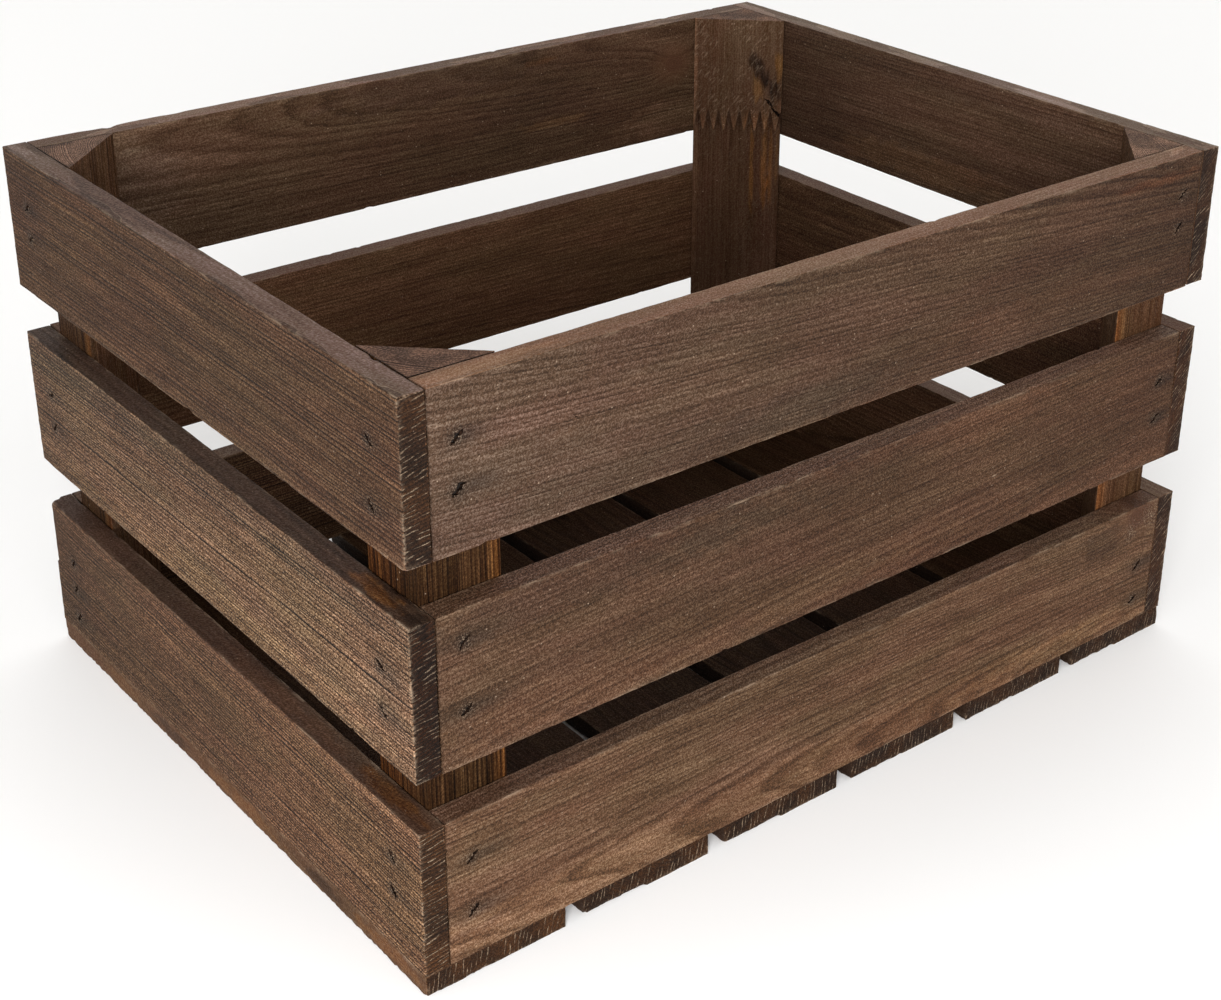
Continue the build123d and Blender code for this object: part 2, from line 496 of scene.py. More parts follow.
def end_colour(g, board, tint, dark_line, ridge, fleck, cut):
    """The ends drink the stain, and the saw leaves pale torn strokes, which come second."""
    tilt = g.noise(board, (0, 0.035, 0.02))
    saw = g.times_plus(tilt, 26, g.dot(board, (0, 2 * math.pi / SAW_CUT_MM, 0.5)))
    saw = g.math("SINE", g.times_plus(g.noise(board, (0, 0.22, 0.06)), 9, saw))
    stroke = g.times(
        g.step(g.times_plus(g.noise(board, (0, 0.8, 0.9)), 0.9, saw), 1.12, 1.45),
        g.step(g.noise(board, (0, 0.45, 0.11), 2, 0.6), 0.47, 0.57),
        g.times(cut, g.step(fleck, 0.34, 0.6, 0.3, 1)),
    )
    shade = g.times(
        g.times_plus(ridge, 0.7, g.times_plus(dark_line, -0.5, 1.1)),
        g.swing(fleck, 0.38, 0.62, 0.4),
        g.swing(g.noise(board, (0.05, 0.05, 0.05)), 0.38, 0.62, 0.35),
    )
    return g.mix(g.times(stroke, 0.46), g.tinted(tint, shade), SAWN_FIBRE), stroke


def planed(g, board, colour, is_end, cut):
    """Paler scallops where the plane skipped or lifted the edges, with a torn lip."""
    lift = g.noise(board, (0.02, 0.05, 0.085), 3, 0.5)
    lift = g.times_plus(cut, 0.6, g.math("SUBTRACT", lift, 0.3))
    edge_only = g.step(is_end, 0.1, 0.2, 1, 0)
    lifted = g.times(edge_only, g.step(lift, 0.5, 0.508))
    colour = g.vector("MULTIPLY", colour, g.mix(lifted, UNCHANGED, PLANED_PALE))
    lip = g.times(g.step(lift, 0.492, 0.5), g.step(lift, 0.501, 0.512, 1, 0))
    return g.mix(g.times(edge_only, lip, 0.35), colour, TORN_FIBRE)


def scuffed(g, board, colour, scuff):
    """Pale slanting scuffs, in patches."""
    dashes = g.noise(g.slanted(board, SCUFF_SLANT), (1, 1, 1), 2, 0.6)
    patch = g.step(g.noise(board, (0.06, 0.06, 0.06)), 0.42, 0.58, 0.1, 1.4)
    return g.mix(g.times(scuff, g.step(dashes, 0.52, 0.66), patch, 0.3), colour, TORN_FIBRE)


def knotted(g, colour, knot, fibre, fleck):
    """Dark knots, with rings of their own and a red halo."""
    ragged = g.times_plus(fleck, 4, knot)
    ring = g.math("FRACT", g.times_plus(fibre, 1.2, g.times(knot, 0.75)))
    knot_colour = g.mix(g.step(ring, 0.2, 0.9), KNOT_DARK, KNOT_BROWN)
    colour = g.mix(g.step(ragged, 6.5, 9.5, 0.85, 0), colour, knot_colour)
    return g.mix(g.step(ragged, 8, 22, 0.35, 0), colour, KNOT_HALO)


def worn(g, board, colour, fleck, torn, wear):
    """Torn wood, rubbed arrises and sparse pale specks."""
    colour = g.mix(g.times(torn, g.step(fleck, 0.5, 0.64), 0.5), colour, TORN_FIBRE)
    rubbed = g.step(g.noise(board, (0.14, 0.6, 0.6), 3, 0.6), 0.42, 0.6)
    colour = g.mix(g.times(wear, rubbed, 0.38), colour, TORN_FIBRE)
    place, luck = g.cells(board, (0.22, 0.24, 0.24))
    speck = g.times(g.step(place, 0.04, 0.11, 1, 0), g.step(luck, 0.6, 0.66), 0.5)
    return g.mix(speck, colour, PALE_SPECK)


def stained_wood(name, gloss):
    """Stained spruce. The mesh says where each point lay in the tree, so that faces, edges and
    ends show one set of growth rings, and how strong each kind of marking is there."""
    g = Graph(name)
    grain = g.attribute("grain")
    board = g.attribute("board")
    tint = g.attribute("tint", out=0)
    wear, end, knot = g.split(g.attribute("marks"))
    late, streak, fuzz = g.split(g.attribute("habit"))
    cut, scuff, torn = g.split(g.attribute("finish"))

    dark_line, ridge = (g.times(line, late) for line in growth_rings(g, grain))
    fibre = g.noise(grain, (0.03, 0.85, 0.85), 3, 0.65)
    fleck = flecks(g, board)
    on_face = face_colour(g, board, grain, tint, dark_line, ridge, fibre, fleck, streak, fuzz)
    on_end, stroke = end_colour(g, board, tint, dark_line, ridge, fleck, cut)
    is_end = g.step(end, 0.55, 0.85)
    colour = g.mix(is_end, on_face, on_end)
    colour = planed(g, board, colour, is_end, cut)
    colour = scuffed(g, board, colour, scuff)
    colour = knotted(g, colour, knot, fibre, fleck)
    colour = worn(g, board, colour, fleck, torn, wear)

    height = g.times(fleck, g.times_plus(torn, 3, 1))
    height = g.times_plus(fibre, 0.8, height)
    height = g.times_plus(dark_line, -0.5, height)
    height = g.times_plus(g.times(stroke, is_end), 0.6, height)
    bump = g.tree.nodes.new("ShaderNodeBump")
    bump.inputs["Strength"].default_value = 0.8
    bump.inputs["Distance"].default_value = 0.45 * MM
    g.feed(bump.inputs["Height"], height)
    return g.surface(
        colour, g.step(fleck, 0.35, 0.65, 0.8, 0.58), gloss, normal=bump.outputs[0])


def shaded_crushed_wood():
    """The torn wood in a staple's pocket, dark partly as real crushed wood and partly as painted shade in
    the narrow hole.
    """
    g = Graph("shaded_crushed_wood")
    torn = g.noise(g.add("TexCoord", out=3), (900, 900, 900), 3, 0.6)
    colour = g.mix(g.step(torn, 0.4, 0.75), (0.0042, 0.0023, 0.0015, 1), (0.03, 0.015, 0.009, 1))
    return g.surface(colour, g.step(torn, 0.2, 0.8, 0.95, 0.75), 0.04)


def staple_steel():
    """Dull wire with stain on it, rubbed bright in places."""
    g = Graph("staple_steel")
    patch = g.noise(g.add("TexCoord", out=3), (420, 420, 420), 3, 0.6)
    colour = g.mix(g.step(patch, 0.64, 0.73), (0.01, 0.008, 0.007, 1), (0.42, 0.4, 0.37, 1))
    roughness = g.step(patch, 0.35, 0.65, 0.8, 0.38)
    return g.surface(colour, roughness, 0.05, metallic=g.step(patch, 0.61, 0.71))


def pale_floor():
    return Graph("pale_floor").surface((0.95, 0.95, 0.95, 1), 0.9, 0.5)


shaded_pocket_wood = shaded_crushed_wood()
steel = staple_steel()
spruce = stained_wood("stained_spruce", 0.11)
ripped_spruce = stained_wood("ripped_spruce", 0.05)

# How strong a board's late wood, streaks and fuzz are
QUARTER_SAWN = 0.9, 0.28, 0.58
FINE_LINED = 1.1, 0.26, 0.78
CLEAR_LINED = 0.44, 0.2, 0.5
FLAT_SAWN = 0.38, 0.2, 0.54
BOLD_GRAIN = 0.46, 0.24, 0.5
SMOOTH_INSIDE = 0.4, 0.2, 0.42
# What is left of them on the boards' edges
EDGE_HABIT = 0.45, 0.55, 0.6
FUZZY_EDGE = 1, 1, 1.1


# -------- boards

# How fine the boards' meshes are, and where their lines lie near the arrises of the thickness
ALONG_MM = 2.1
ACROSS_MM = 1.5
THIN_MARGINS_MM = 0, 0.3, 0.8, 1.6
SHARP_ANGLE = math.radians(35)
SAWN_ROUGH_MM = 0.12
# A board's staples lie less than this outside its CAD box, and this near a point of its mesh
SUNK_MM = 2
TORN_MM = 5
# Farther than any knot reaches
FAR_MM = 99
# Pieces take their patterns from places this far apart, times a small whole number
APART_MM = 500


def board_axes(node, directions):
    """Centre and half sizes of a CAD board, with its directions as the rows of a matrix."""
    low, high = (np.array(corner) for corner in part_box(node))
    axes = np.array(directions, float)
    half = np.abs(axes @ (high - low)) / 2
    return (low + high) / 2, half, axes


def arris_radius(local, half, seed, worn_mm, chips):
    """Rounding in millimetres: uneven along the arrises, with a few chips. The chips asked for
    are each a place along the board, its reach and depth, and the sides of the arris it is on."""
    radius = 0.3 + 0.12 * waves(local, (22, 22, 22), seed + 1)
    radius += 1.5 * smooth_step(1.7, 2.7, waves(local, (14, 30, 30), seed + 2))
    for a, reach, depth, b_side, c_side in chips:
        near = np.exp(-((local[:, 0] - a) / reach) ** 4)
        radius += depth * near * (local[:, 1] * b_side > 0) * (local[:, 2] * c_side > 0)
    if worn_mm:
        on_worn = (local[:, 1] < 0) & (local[:, 2] > 0)
        nicked = worn_mm + 0.3 * waves(local, (30, 30, 30), seed + 3)
        nicked += 0.35 * waves(local, (5, 7, 30), seed + 12)
        radius = np.where(on_worn, np.maximum(radius, nicked), radius)
    return np.clip(radius, 0.12, min(4, 0.9 * half.min()))


def hand_over(piece, node):
    """Lets a piece stand for its CAD node."""
    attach(piece, ROOT)
    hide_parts(node)


def relief(local, seed):
    """How far each point of the board stands out along its outer face's direction, in mm."""
    bow = 0.16 * waves(local, (420, 140, 1e6), seed + 4)
    planed = 0.035 * waves(local, (60, 7, 12), seed + 5)
    fine = 0.022 * waves(local, (9, 3.6, 5), seed + 6, 24)
    return bow + planed + fine


def with_tint_patches(tint, local, tint_patches, seed):
    """The tint with ragged patches on it, each a place in three numbers, half sizes along and
    across, and the factor on the colour or the factors on red, green and blue."""
    for a, b, c, size_a, size_b, *colour in tint_patches:
        away = (local - (a, b, c)) / (size_a, size_b, 4)
        ragged = (away ** 2).sum(1) + 0.35 * waves(local, (18, 6, 6), seed)
        cover = smooth_step(1.3, 0.4, ragged)[:, None]
        tint = tint * (1 + (np.array(colour) - 1) * cover)
    return tint


def place_in_tree(local, spec):
    """Where each point lay in the tree: away from the pith, leaning a little along the board, and
    pushed aside by knots. Also how far it is from a knot, in sevenths of the knot's radius."""
    across, through = spec["pith"]
    lean_across, lean_through = spec["lean"]
    grain = np.empty_like(local)
    grain[:, 0] = local[:, 0] + APART_MM * (spec["seed"] % 17)
    grain[:, 1] = local[:, 1] + across + lean_across * local[:, 0]
    grain[:, 2] = local[:, 2] + through + lean_through * local[:, 0]
    knot = np.full(len(local), FAR_MM)
    for a, b, size_mm in spec.get("knots", ()):
        flat = np.hypot((local[:, 0] - a) * 0.72, local[:, 1] - b) * 7 / size_mm
        knot = np.minimum(knot, flat)
        grain[:, 1] += 9 * np.exp(-(flat / 13) ** 2) * np.tanh((local[:, 1] - b) / 5)
    return grain, knot


def rubbing(local, gap, seed, shy):
    """How rubbed each point is: the arrises, most of all near the ends. The ends' arrises against
    another board aren't rubbed."""
    wear = np.exp(-np.clip(np.sort(gap, axis=1)[:, 1], 0, None) / 0.6)
    cornered = 0.7 * np.exp(-gap[:, 0] / 12)
    wear *= np.clip(0.55 + 0.45 * waves(local, (35, 35, 35), seed + 7) + cornered, 0, 1.4)
    butted = (local[:, 2] < 0) | shy
    return wear * np.where(butted, smooth_step(0.8, 2, gap[:, 0]), 1)


def stain(local, size, nearest, spec):
    """The stain by face, with painted light and sheen along the board."""
    # Painted light: factors along the board that paint the falloff of the soft box's light and its sheen,
    # mostly paler nearer it.
    painted_light = np.array(spec.get("painted_light", ((1, 1, 1), (1, 1, 1))))
    stations = np.linspace(-size[0], size[0], len(painted_light))
    along = np.stack([np.interp(local[:, 0], stations, channel) for channel in painted_light.T], 1)
    outer = ((nearest == 2) & (local[:, 2] > 0))[:, None]
    tint = np.where(outer, FACE_STAIN, INNER_STAIN) * np.array(spec["stain"]) * along
    # The edges: their stain and factors are partly painted sheen on the top rims.
    upper_edge = np.array(spec.get("edge", (1, 1, 1)))
    lower_edge = np.array(spec.get("low_edge", upper_edge))
    edge = EDGE_STAIN * np.where(local[:, 1:2] > 0, upper_edge, lower_edge)
    tint = np.where((nearest == 1)[:, None], edge, tint)
    return np.where((nearest == 0)[:, None], np.array(END_STAIN) * spec.get("end", 1), tint)


def bleeding(tint, world, centre, axes, spec):
    """The tint, dark round each staple of the board, and how torn the wood is there."""
    rng = np.random.default_rng(spec["seed"] + 8)
    at_left, at_right = spec.get("bleeds", (1, 1))
    torn = np.zeros(len(world))
    for middle, _, _ in CROWNS:
        away = (world - middle) @ axes.T / MM
        if np.linalg.norm(away, axis=1).min() > TORN_MM:
            continue
        reach = rng.uniform(8, 17)
        shift = rng.uniform(2, 8)
        strength = at_right if (middle - centre) @ axes[0] > 0 else at_left
        flat = ((away[:, 0] - shift) / reach) ** 2 + (away[:, 1] / 4) ** 2 + (away[:, 2] / 3) ** 2
        halo = np.exp(-flat) * rng.uniform(0.4, 0.6)
        core = 0.6 * np.exp(-((away / 4.6) ** 2).sum(1))
        bleed = np.maximum(halo, core)[:, None] * strength
        tint = tint * (1 - bleed * (1, 0.94, 0.88))
        torn = np.maximum(torn, np.exp(-((away / 3.2) ** 2).sum(1)))
    return tint, torn


def paint_board(mesh, centre, half, axes, spec):
    """Gives the mesh the attributes that the wood material reads."""
    seed = spec["seed"]
    shy = bool(spec.get("shy"))
    world = mesh_points(mesh)
    local = (world - centre) @ axes.T / MM
    size = half / MM
    gap = size - np.abs(local)
    nearest = np.argmin(gap, axis=1)
    grain, knot = place_in_tree(local, spec)
    wear = rubbing(local, gap, seed, shy)
    tint = stain(local, size, nearest, spec)
    tint, torn = bleeding(tint, world, centre, axes, spec)
    for place, reach in spec.get("tears", ()):
        torn = np.maximum(torn, 1.7 * np.exp(-(((local - place) / reach) ** 2).sum(1)))
    tint = with_tint_patches(tint, local, spec.get("tint_patches", ()), seed + 9)
    # Painted shade in the seam at each end: edges and faces darkened within about a millimetre of the
    # end.
    if shy:
        seam_shade = smooth_step(1.3, 0.3, gap[:, 0]) * np.choose(nearest, (0, 0.6, 0.3))
        tint = tint * (1 - seam_shade[:, None])

    board = local + APART_MM * (seed % 19)
    board[:, 1] -= spec.get("sawn_slant", 0) * local[:, 2]
    edge_habit = np.array(spec["wood"]) * spec.get("edge_habit", EDGE_HABIT)
    lifted = spec.get("planed", 0) - spec.get("planed_inward", 0) * local[:, 2] / size[2]
    sawn = np.interp(local[:, 1], (-size[1], size[1]), spec.get("sawn", (1, 1)))
    none = np.zeros(len(local))
    set_attributes(
        mesh, grain=grain, board=board, tint=tint,
        marks=np.stack([wear, nearest == 0, knot], 1),
        habit=np.where((nearest == 1)[:, None], edge_habit, spec["wood"]),
        finish=np.stack([np.choose(nearest, (sawn, lifted, none)), none, torn], 1),
    )


def make_board(node, directions, spec):
    """A board with worn arrises, a little bow, fine relief and its staple pockets."""
    centre, half, axes = board_axes(node, directions)
    size = half / MM
    seed = spec["seed"]
    along, across = spread(size[0], ALONG_MM), spread(size[1], ACROSS_MM)
    local, quads = lattice_shell(along, across, spread(size[2], ACROSS_MM, THIN_MARGINS_MM))
    radius = arris_radius(local, size, seed, spec.get("worn_mm"), spec.get("chips", ()))
    shaped = round_off(local, size, radius)
    shaped[:, 2] += relief(local, seed)
    at_end = size[0] - np.abs(local[:, 0]) < 0.1
    rough_mm = SAWN_ROUGH_MM * np.abs(waves(local, (9, 2.2, 9), seed + 10))
    shaped[:, 0] *= 1 - (spec.get("shy", 0) / size[0])
    shaped[:, 0] -= np.where(at_end, np.sign(local[:, 0]) * rough_mm, 0)
    world = centre + shaped * MM @ axes
    world[:, 2] = np.maximum(world[:, 2], 0)
    board = new_mesh_object("wood_" + node, world, quads)
    board.data.materials.append(spruce)
    pad = SUNK_MM * MM
    low, high = (np.array(corner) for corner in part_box(node))
    pits = [
        (centre + axes.T @ (a * MM, b * MM, half[2]), axes[2], pit_mm)
        for a, b, pit_mm in spec.get("pits", ())
    ]
    for plugs in board_plugs(low - pad, high + pad, pits, seed + 11):
        cut_out(board, plugs)
    paint_board(board.data, centre, half, axes, spec)
    board.data.shade_smooth()
    board.data.set_sharp_from_angle(angle=SHARP_ANGLE)
    hand_over(board, node)


SHY_MM = 0.35

# For each board: wood says how strongly it is marked, and edge_habit how much of that its edges
# keep. pith is how far it lay from the tree's centre, across its face and through it, in mm, and
# lean is how that changes along it. These are factors on the stain: stain on the faces, edge and
# low_edge on the edges, on the top rims partly a painted sheen, end on the ends, painted light
# and sheen along the faces from left to right, mostly paler nearer the soft box, bleeds on the
# dark halos round the staples at the left and at the right, and patches paler or darker in
# places. knots, tears and pits are each a place and a size, and chips are as in arris_radius.
# planed is how much of its edges the plane lifted, and planed_inward how much more of them
# towards the inside. sawn is how strong the saw's strokes are at the foot and at the head of its
# ends, and sawn_slant how much they slant. shy is how far its ends stay short of the end boards,
# with painted shade in the seam there, and worn_mm how round its lower outer arris is worn.
BOARDS = {
    "front_plank_top": dict(
        axes=FRONT, seed=11, wood=CLEAR_LINED, pith=(-52, -46), lean=(0.02, 0.05), shy=SHY_MM,
        stain=(0.87, 0.92, 0.97), edge=(1.62, 1.6, 1.56), planed=0.22, bleeds=(1, 0.3),
        pits=((-160, 5, 1.3), (224, -14, 1.1)),
        painted_light=((1.24, 1.31, 1.54), (1, 1, 1.04), (0.98, 0.92, 0.88), (0.7, 0.6, 0.49)),
        tint_patches=((120, -18, 6, 90, 9, 1.14, 1.12, 1.1), (-110, -27, 6, 130, 9, 0.9, 0.91, 0.91),
            (-190, 16, 6, 60, 16, 1.1), (-200, 36, 0, 46, 4, 1.3, 1.26, 1.22),
            (-30, -25, 6, 62, 10, 0.84, 0.86, 0.88), (-105, 3, 6, 62, 12, 1.13),
            (200, 27, 6, 36, 2.4, 1.22, 1, 0.85)),
    ),
    "front_plank_middle": dict(
        axes=FRONT, seed=23, wood=FLAT_SAWN, pith=(48, -60), lean=(-0.02, 0.03), shy=SHY_MM,
        stain=(0.92, 0.88, 0.86), edge=(1, 0.98, 0.98), edge_habit=FUZZY_EDGE,
        painted_light=((1.18, 1.24, 1.32), (0.9, 0.9, 0.92), (0.94, 0.91, 0.88), (0.92, 0.87, 0.78)),
        tint_patches=((-160, 26, 6, 120, 10, 0.8, 0.82, 0.84),
            (-100, -22, 6, 170, 12, 1.12, 1.12, 1.08), (-40, 25, 6, 80, 11, 0.86, 0.88, 0.88),
            (0, -31, 6, 240, 6, 1.12, 1.1, 1.1), (90, 28, 6, 40, 12, 1.18, 1.17, 1.16)),
    ),
    "front_plank_bottom": dict(
        axes=FRONT, seed=37, wood=BOLD_GRAIN, pith=(30, -38), lean=(0.05, 0.06), shy=SHY_MM,
        stain=(1.32, 1.32, 1.28), edge=(0.95, 0.94, 0.92), knots=((213, 31, 8),), edge_habit=FUZZY_EDGE,
        tears=(((222, 27, 6), 6), ((206, 22, 6), 4)),
        painted_light=((1.14, 1.16, 1.2), (0.94, 0.95, 0.97), (0.98, 0.97, 0.96), (1.02, 1, 0.98)),
        tint_patches=((-60, -27, 6, 210, 13, 1.24, 1.22, 1.18), (0, 26, 6, 260, 12, 0.9),
            (184, 23, 6, 20, 10, 0.66, 0.64, 0.62), (185, -26, 6, 22, 7, 1.2, 1.22, 1.24),
            (150, -30, 6, 90, 8, 1.18, 1.18, 1.15), (-175, -26, 6, 75, 12, 1.14, 1.19, 1.23),
            (-185, 2, 6, 45, 13, 1.07, 1.11, 1.14), (212, 30, 6, 6, 6, 0.6, 0.48, 0.48)),
    ),
    "back_plank_top": dict(
        axes=BACK, seed=41, wood=SMOOTH_INSIDE, pith=(-30, -44), lean=(0.03, -0.04), shy=SHY_MM,
        stain=(1, 1.03, 1.04), edge=(1, 1.03, 1.1), knots=((-172, 10, 6),), planed=0.5,
        painted_light=((1.12, 1.2, 1.28), (1.1, 1.16, 1.24), (0.9, 0.94, 0.98), (0.93, 0.96, 0.98),
            (1.22, 1.3, 1.42), (1.45, 1.6, 1.85), (1.45, 1.65, 1.95)),
        chips=((186, 2.5, 4, 1, 1), (189, 9, 1.6, 1, 1), (150, 5, 0.9, 1, 1)),
        tint_patches=((-80, -10, -6, 25, 3, 1.55, 1.55, 1.4), (-75, 28, -6, 12, 2, 1.5, 1.4, 1.2),
            (172, 4, -6, 22, 24, 1.18, 1.26, 1.38), (-165, -24, -6, 36, 12, 1.4, 1.46, 1.55),
            (0, 27, -6, 70, 12, 0.85, 0.83, 0.88), (-70, 2, -6, 45, 14, 0.86, 0.83, 0.83)),
    ),
    "back_plank_middle": dict(
        axes=BACK, seed=53, wood=SMOOTH_INSIDE, pith=(60, -50), lean=(0.02, 0.05), shy=SHY_MM,
        stain=(1.55, 1.58, 1.58), edge=(0.92, 0.8, 0.72),
    ),
    "back_plank_bottom": dict(
        axes=BACK, seed=67, wood=QUARTER_SAWN, pith=(140, 12), lean=(0.01, 0), shy=SHY_MM,
        stain=(1.1, 1.1, 1.1),
    ),
    "left_end_plank_top": dict(
        axes=LEFT, seed=71, wood=QUARTER_SAWN, pith=(150, 20), lean=(0.004, 0), stain=(0.87, 0.82, 0.73),
        edge=(0.77, 0.82, 0.94), end=(0.84, 0.8, 0.8), planed=0.93, planed_inward=0.46, sawn=(1.3, 1),
        painted_light=((0.84, 0.76, 0.65), (1.06, 1.01, 0.91), (0.92, 0.9, 0.83), (0.9, 0.9, 0.86),
            (0.98, 0.91, 0.88)),
        tint_patches=((-165, 36, 2, 16, 8, 1.32, 1.4, 1.55), (-120, 36, 6, 9, 3, 0.7)),
    ),
    "left_end_plank_middle": dict(
        axes=LEFT, seed=83, wood=FINE_LINED, pith=(-110, -30), lean=(-0.02, 0.02),
        stain=(1.7, 1.79, 1.76), edge=(0.42, 0.4, 0.38), end=(0.5, 0.36, 0.18), sawn=(0.85, 0.85),
        painted_light=((0.84, 0.82, 0.82), (1.02, 1.02, 1), (1.1, 1.1, 1.12)),
        tint_patches=((0, 30, 6, 240, 9, 0.8, 0.82, 0.84), (-20, -26, 6, 200, 8, 1.34, 1.33, 1.3),
            (-110, 28, 6, 90, 9, 0.86, 0.88, 0.88), (85, 2, 6, 70, 12, 1.12, 1.13, 1.12),
            (160, 0, 6, 16, 10, 0.84, 0.88, 0.9), (148, 36, 0, 20, 8, 2.4, 1.9, 0.95),
            (176, 36, 0, 7, 8, 0.55)),
    ),
    "left_end_plank_bottom": dict(
        axes=LEFT, seed=97, wood=FINE_LINED, pith=(130, 8), lean=(0.008, 0), stain=(1.43, 1.37, 1.23),
        edge=(0.5, 0.46, 0.42), end=(1.35, 1.3, 1.25), sawn=(1.5, 1.5),
        painted_light=((0.66, 0.62, 0.53), (1, 0.98, 0.97), (1.32, 1.31, 1.29)),
        chips=((-180, 3, 2.6, 1, 1), (-168, 4, 1.2, 1, -1)),
        tint_patches=((150, 36, 0, 24, 8, 1.2, 0.92, 0.48), (60, 36, 0, 60, 8, 1.25, 1.2, 1.1)),
    ),
    "right_end_plank_top": dict(
        axes=RIGHT, seed=101, wood=SMOOTH_INSIDE, pith=(120, -20), lean=(0.01, 0),
        stain=(1.28, 1.39, 1.6), edge=(1.28, 1.56, 1.84), end=(0.95, 0.86, 0.85), planed=0.45,
        sawn=(2, 0.4), sawn_slant=1,
        painted_light=((1, 1, 1), (1, 1, 1), (1, 1, 1), (0.74, 0.74, 0.74), (0.62, 0.6, 0.6)),
        tint_patches=((10, -24, -6, 75, 9, 1.46, 1.44, 1.38), (-20, 28, -6, 110, 8, 0.9, 0.92, 0.95),
            (-165, 36, 0, 34, 8, 0.8, 0.68, 0.66)),
    ),
    "right_end_plank_middle": dict(
        axes=RIGHT, seed=113, wood=FLAT_SAWN, pith=(-40, 60), lean=(0.03, 0.02), stain=(1.06, 1.04, 1.02),
        edge=(0.9, 0.82, 0.75), end=(1.2, 1, 0.85), sawn=(1.8, 1.8), sawn_slant=1,
    ),
    "right_end_plank_bottom": dict(
        axes=RIGHT, seed=127, wood=BOLD_GRAIN, pith=(36, 50), lean=(-0.03, 0.03),
        stain=(1.06, 1.04, 1.02), end=(1.2, 1, 0.85), sawn=(1.8, 1.8), sawn_slant=1,
    ),
}
# How worn each slat's lower arris is, in mm, and how pale its sawn ends are
SLATS = (0.9, 1.25), (3.5, 0.95), (3, 0.9), (1.5, 0.78), (1.5, 0.8), (2, 0.85)
# Painted shade: the slats' sides that face each other across the gaps, darkened for the shade in the
# gaps.
SLAT_GAP_SHADE = (0.22, 0.2, 0.18)
OUTER_SIDE = (0.72, 0.66, 0.51)
OUTER_TINT_PATCHES = (
    (-150, -36, 0, 26, 6, 1.45, 1.35, 1.1), (-95, -36, 0, 16, 6, 0.55, 0.53, 0.52),
    (-20, -36, 0, 40, 6, 1.4, 1.32, 1.1), (55, -36, 0, 22, 6, 0.55, 0.55, 0.58),
    (110, -36, 0, 20, 6, 1.3, 1.25, 1.15),
)

for node, spec in BOARDS.items():
    make_board(node, spec["axes"], spec)
for number, (worn_mm, end) in enumerate(SLATS, 1):
    rng = np.random.default_rng(200 + number)
    make_board(
        f"bottom_slat_{number}", UNDER,
        dict(
            seed=200 + 13 * number, wood=(BOLD_GRAIN, FLAT_SAWN)[number % 2],
            pith=tuple(rng.uniform((-60, 30), (60, 70))), lean=tuple(rng.uniform(-0.04, 0.04, 2)),
            stain=tuple(rng.uniform(0.92, 1.12) * np.array((1, 0.99, 0.98))),
            edge=OUTER_SIDE if number == len(SLATS) else SLAT_GAP_SHADE,
            low_edge=OUTER_SIDE if number == 1 else SLAT_GAP_SHADE,
            tint_patches=OUTER_TINT_PATCHES if number == 1 else (),
            end=(1.12 * end, 1 * end, 0.78 * end), sawn=(1.25, 1.25), worn_mm=worn_mm,
        ),
    )


# -------- corner posts

# The gap between a post's outer faces and the boards
JOINT_GAP = 0.5 * MM
FINGER_PITCH_MM = 6.4
FINGER_OFFSET_MM = -1.9
FINGER_TIP_MM = 0.9
FINGER_LENGTH_MM = 12
POST_TIP_MM = 0.6
CRACK_FLOOR_MM = 1.5
SEAM_MM = 1.1
RIPPED_RINGS = 2.1

# How strong a post's late wood, streaks and fuzz are
RIPPED = 0.62, 0.36, 0.34
STRIPED = 0.85, 0.5, 0.4
SMOOTHED = 0.26, 0.18, 0.28
POST_END = 1.3, 0.3, 0.45

# Painted light at the tips of a post's outer sides, paler and more orange: how far it reaches in mm, and
# its colour
PAINTED_TIP_LIGHT = 3.6, (1.5, 1.1, 0.45)


lower_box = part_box("corner_post_back_right_lower")
upper_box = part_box("corner_post_back_right_upper")


def comb(across, low, high):
    """Height of the finger joint over positions across the post's inner face, in mm."""
    half_pitch = FINGER_PITCH_MM / 2
    turn = np.abs((across - FINGER_OFFSET_MM) / FINGER_PITCH_MM % 1 * 2 - 1) * half_pitch
    share = (half_pitch - turn - FINGER_TIP_MM / 2) / (half_pitch - FINGER_TIP_MM)
    return low + (high - low) * np.clip(share, 0, 1)


def post_shell(width, apex, depth, floor, roof, step):
    """Points and outward quads of a triangular post between two heights that may vary across it.
    Its inner face has that width, and the corner of its outer faces lies depth behind apex."""
    reach = width / 2 - POST_TIP_MM
    teeth = np.arange(-10, 12) * FINGER_PITCH_MM / 2 + FINGER_OFFSET_MM
    half_tip = FINGER_TIP_MM / 2
    even = np.linspace(-reach, reach, 31)
    across = np.concatenate([teeth - half_tip, teeth + half_tip, even, [apex]])
    across = np.unique(np.round(across, 3))
    across = across[np.abs(across) <= reach + 0.001]
    levels = max(2, round((roof(across).mean() - floor(across).mean()) / step))
    share = np.linspace(0, 1, levels + 1)
    share = np.unique(np.concatenate([share, [0.15 * share[1], 1 - 0.15 * share[1]]]))
    points, quads = lattice_shell(across, np.arange(4), share)
    out = depth * np.interp(points[:, 0], (-width / 2, apex, width / 2), (0, 1, 0))
    rim = np.maximum(out - SEAM_MM, 0.6 * out)
    points[:, 1] = np.choose(points[:, 1].astype(int), (0 * out, 0.5 * rim, rim, out))
    low, high = floor(points[:, 0]), roof(points[:, 0])
    points[:, 2] = low + (high - low) * points[:, 2]
    return points, quads


